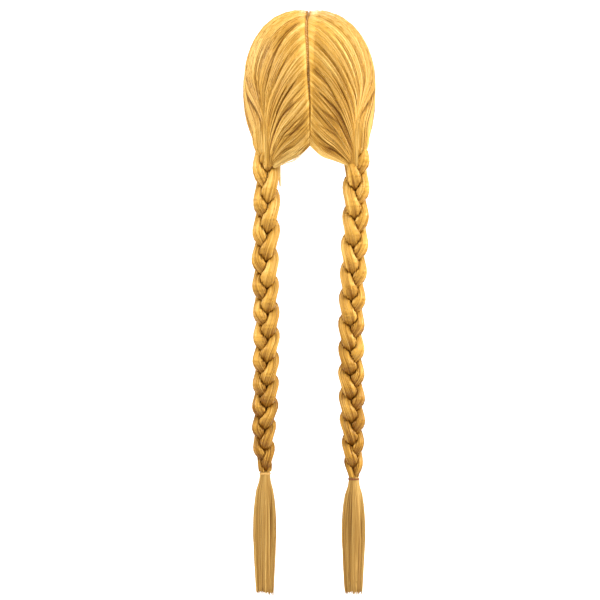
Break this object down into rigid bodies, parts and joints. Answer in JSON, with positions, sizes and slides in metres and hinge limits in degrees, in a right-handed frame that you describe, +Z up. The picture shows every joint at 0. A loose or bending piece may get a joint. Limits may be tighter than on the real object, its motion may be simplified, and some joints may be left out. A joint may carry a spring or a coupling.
{
  "type": "pigtail wig",
  "caption": "Centre-parted wig of long golden hair swept back over the ears into a plait on each side, tied near the end, on a hollow fabric cap.",
  "frame": {"origin": "the point inside the cap that bears on the crown of the head, at the top of its hollow", "axes": "+Z up, out of the crown; the wearer faces -Y and +X is the wearer's left; the plaits hang down -Z"},
  "size_m": [0.1709, 0.1993, 0.749],
  "materials": {
    "hair": "satin",
    "tail_hair": "satin",
    "cap": "matte",
    "elastic": "satin"
  },
  "bodies": {
    "root": {"cap": "cap", "part_strip": "cap", "front_hair_left": "hair", "front_hair_right": "hair", "back_hair_left": "hair", "back_hair_right": "hair", "braid_strand_a_left": "hair", "braid_strand_b_left": "hair", "braid_strand_c_left": "hair", "tie_left": "elastic", "tail_left": "tail_hair", "braid_strand_a_right": "hair", "braid_strand_b_right": "hair", "braid_strand_c_right": "hair", "tie_right": "elastic", "tail_right": "tail_hair"}
  },
  "joints": []
}
